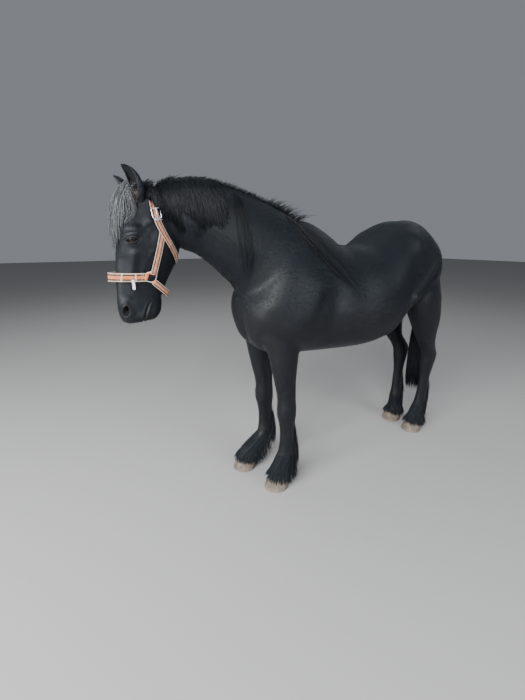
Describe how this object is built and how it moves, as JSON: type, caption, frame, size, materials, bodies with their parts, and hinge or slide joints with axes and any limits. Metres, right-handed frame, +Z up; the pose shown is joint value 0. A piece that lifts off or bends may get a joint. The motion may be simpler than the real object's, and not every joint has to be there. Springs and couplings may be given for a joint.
{
  "type": "horse",
  "caption": "Life-size Friesian horse standing at rest, head lowered, with long mane, tail and feathered legs, wearing a webbing head collar.",
  "frame": {"origin": "middle of the bounding box on the ground, between the four hooves", "axes": "+X from nose to tail, -Y towards the horse's left side, +Z up"},
  "size_m": [2.326, 0.6762, 1.7978],
  "materials": {
    "coat": "short black hair with a soft bluish sheen",
    "long_hair": "long black hair",
    "horn": "dusty grey-brown horn",
    "eye": "dark and wet",
    "webbing": "woven orange and brown stripes with pale edges",
    "fittings": "worn bright metal"
  },
  "bodies": {
    "root": {"head": "coat", "neck": "coat", "torso": "coat", "fore_leg_left": "coat", "fore_leg_right": "coat", "hind_leg_left": "coat", "hind_leg_right": "coat", "fore_cannon_left": "coat", "fore_cannon_right": "coat", "hind_cannon_left": "coat", "hind_cannon_right": "coat", "tail": "long_hair", "ear_left": "coat", "ear_right": "coat", "eye_left": "eye", "eye_right": "eye", "fore_hoof_left": "horn", "fore_hoof_right": "horn", "hind_hoof_left": "horn", "hind_hoof_right": "horn", "halter_headpiece": "webbing", "halter_noseband": "webbing", "halter_jaw_strap": "webbing", "halter_ring_left": "fittings", "halter_ring_right": "fittings", "halter_buckle": "fittings", "halter_keeper": "fittings", "halter_tab": "webbing"}
  },
  "joints": []
}
